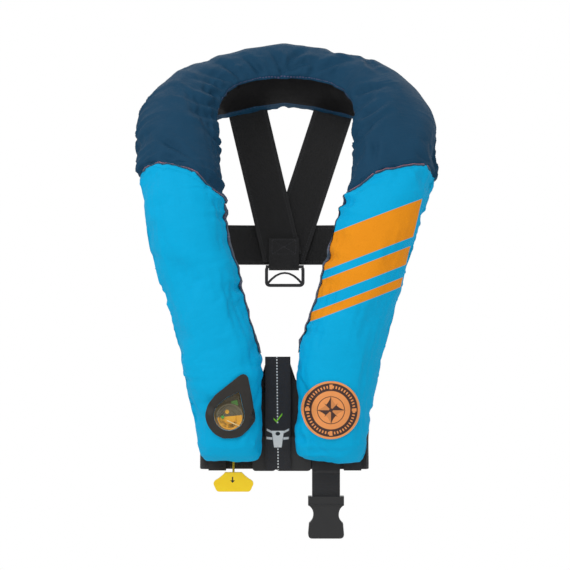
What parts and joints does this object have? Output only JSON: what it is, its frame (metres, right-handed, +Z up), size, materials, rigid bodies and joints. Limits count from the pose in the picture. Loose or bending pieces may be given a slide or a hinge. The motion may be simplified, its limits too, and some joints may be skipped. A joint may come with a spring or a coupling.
{
  "type": "inflatable life jacket",
  "caption": "Horseshoe inflatable life jacket: padded dark collar and bright lobes over a folded bladder with inflator, webbing yoke, waist belt with buckle, back ring and crotch strap",
  "frame": {"origin": "the middle of the collar's neck edge at the nape, where the collar rests on the wearer's neck", "axes": "+Z up, +Y to the wearer's back, +X to the wearer's left"},
  "size_m": [0.3525, 0.2683, 0.5942],
  "materials": {
    "collar_fabric": "dark blue woven nylon, padded",
    "lobe_fabric": "bright blue woven nylon",
    "lining": "black brushed lining",
    "piping": "narrow purple piping",
    "webbing": "black polyester webbing",
    "bladder": "yellow coated nylon",
    "window_frame": "dark grey welded vinyl",
    "window_clear": "clear flexible vinyl",
    "badge_print": "printed soft badge",
    "black_plastic": "moulded acetal",
    "yellow_plastic": "moulded yellow plastic",
    "green_plastic": "green moulded plastic",
    "steel": "plated steel",
    "ring_metal": "dark coated steel"
  },
  "bodies": {
    "jacket": {"collar_cover": "collar_fabric", "right_lobe_cover": "lobe_fabric", "left_lobe_cover": "lobe_fabric", "right_seam_piping": "piping", "left_seam_piping": "piping", "collar_lining": "lining", "right_lobe_lining": "lining", "left_lobe_lining": "lining", "right_edge_binding": "collar_fabric", "left_edge_binding": "collar_fabric", "window_frame": "window_frame", "window_pane": "window_clear", "round_badge": "badge_print", "inflator_body": "black_plastic", "lever_pin": "steel", "status_indicator": "green_plastic", "manifold_flange": "black_plastic", "oral_tube": "black_plastic", "whistle": "yellow_plastic", "air_bladder": "bladder", "right_hem_closure": "lining", "left_hem_closure": "lining", "back_belt": "webbing", "right_waist_belt": "webbing", "left_waist_belt": "webbing", "right_belt_keeper": "webbing", "left_belt_keeper": "webbing", "front_panel": "lining", "buckle_socket": "black_plastic", "right_yoke_strap": "webbing", "left_yoke_strap": "webbing", "ring_loop": "webbing", "crotch_loop": "webbing"},
    "pull": {"pull_tab": "yellow_plastic", "pull_lanyard": "yellow_plastic"},
    "lever": {"firing_lever": "black_plastic"},
    "cylinder": {"gas_cylinder": "steel"},
    "sensor": {"sensing_cap": "yellow_plastic"},
    "mouth_cap": {"oral_cap": "yellow_plastic"},
    "flap": {"buckle_flap": "webbing"},
    "plug": {"buckle_plug": "black_plastic", "right_belt_tail": "webbing"},
    "ring": {"back_ring": "ring_metal"},
    "crotch": {"crotch_strap": "webbing"},
    "crotch_buckle": {"crotch_socket": "black_plastic"}
  },
  "joints": [
    {"name": "pull_tab_slide", "type": "slide", "parent": "jacket", "child": "pull", "axis": [0, 0, -1], "range_m": [0, 0.012]},
    {"name": "lever_turn", "type": "hinge", "parent": "jacket", "child": "lever", "pos_m": [-0.04345, -0.15835, -0.42716], "axis": [0, -1, 0], "range_deg": [0, 50]},
    {"name": "cylinder_turn", "type": "hinge", "parent": "jacket", "child": "cylinder", "pos_m": [-0.062, -0.15835, -0.403], "axis": [-0.2474, 0, 0.9689], "continuous": true},
    {"name": "sensor_turn", "type": "hinge", "parent": "jacket", "child": "sensor", "pos_m": [-0.06367, -0.17, -0.40859], "axis": [0, -1, 0], "range_deg": [0, 90]},
    {"name": "mouth_cap_pull", "type": "slide", "parent": "jacket", "child": "mouth_cap", "axis": [0.2474, 0, 0.9689], "range_m": [0, 0.014]},
    {"name": "flap_peel", "type": "hinge", "parent": "jacket", "child": "flap", "pos_m": [-0.0076, -0.138, -0.468], "axis": [1, 0, 0], "range_deg": [0, 90]},
    {"name": "plug_release", "type": "slide", "parent": "jacket", "child": "plug", "axis": [-1, 0, 0], "range_m": [0, 0.0205]},
    {"name": "ring_swing", "type": "hinge", "parent": "jacket", "child": "ring", "pos_m": [0.0003, 0.0717, -0.234], "axis": [1, 0, 0], "range_deg": [-30, 30]},
    {"name": "crotch_swing", "type": "hinge", "parent": "jacket", "child": "crotch", "pos_m": [0.0476, -0.1352, -0.4747], "axis": [1, 0, 0], "range_deg": [-45, 45]},
    {"name": "crotch_buckle_swing", "type": "hinge", "parent": "crotch", "child": "crotch_buckle", "pos_m": [0.0476, -0.1352, -0.5065], "axis": [1, 0, 0], "range_deg": [-8, 50]}
  ],
  "couplings": [
    {"joint": "lever_turn", "follows": "pull_tab_slide", "rad_per_m": 72.7}
  ]
}
